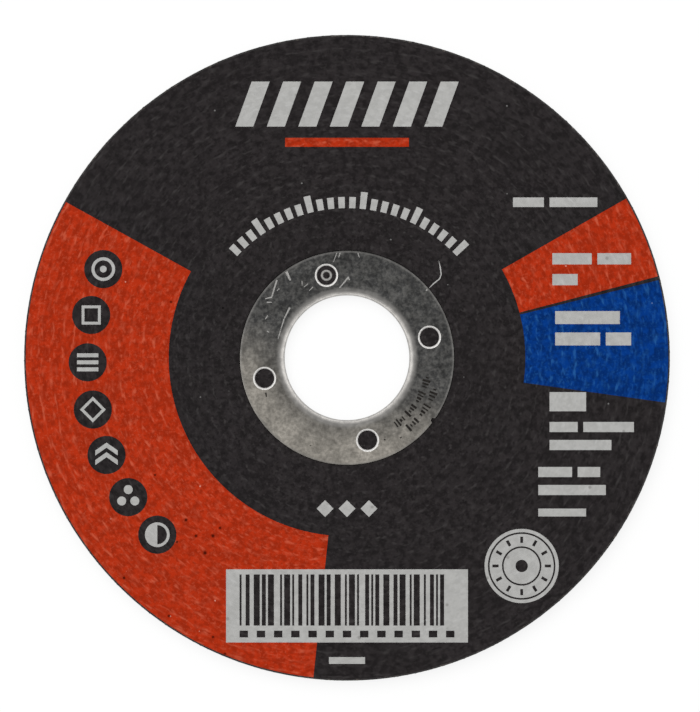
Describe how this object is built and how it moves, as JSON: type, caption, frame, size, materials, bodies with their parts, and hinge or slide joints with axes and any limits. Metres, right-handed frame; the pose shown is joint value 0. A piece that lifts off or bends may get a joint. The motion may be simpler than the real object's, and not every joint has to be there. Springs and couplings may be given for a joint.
{
  "type": "cut off wheel",
  "caption": "Flat round abrasive cut-off wheel with a printed paper label and a pressed steel ring that lines its arbor bore.",
  "frame": {"origin": "on the bore's axis, in the plane of the back face, on which the wheel lies", "axes": "+Z along the bore's axis, out through the label face; +Y towards the top of the print"},
  "size_m": [0.115, 0.115, 0.0031],
  "materials": {
    "abrasive": "matte",
    "label_paper": "matte",
    "red_ink": "matte",
    "blue_ink": "matte",
    "pale_ink": "matte",
    "tinplate": "satin"
  },
  "bodies": {
    "root": {"abrasive_disc": "abrasive", "paper_label": "label_paper", "red_print": "red_ink", "blue_print": "blue_ink", "pale_print": "pale_ink", "centre_ring": "tinplate"}
  },
  "joints": []
}
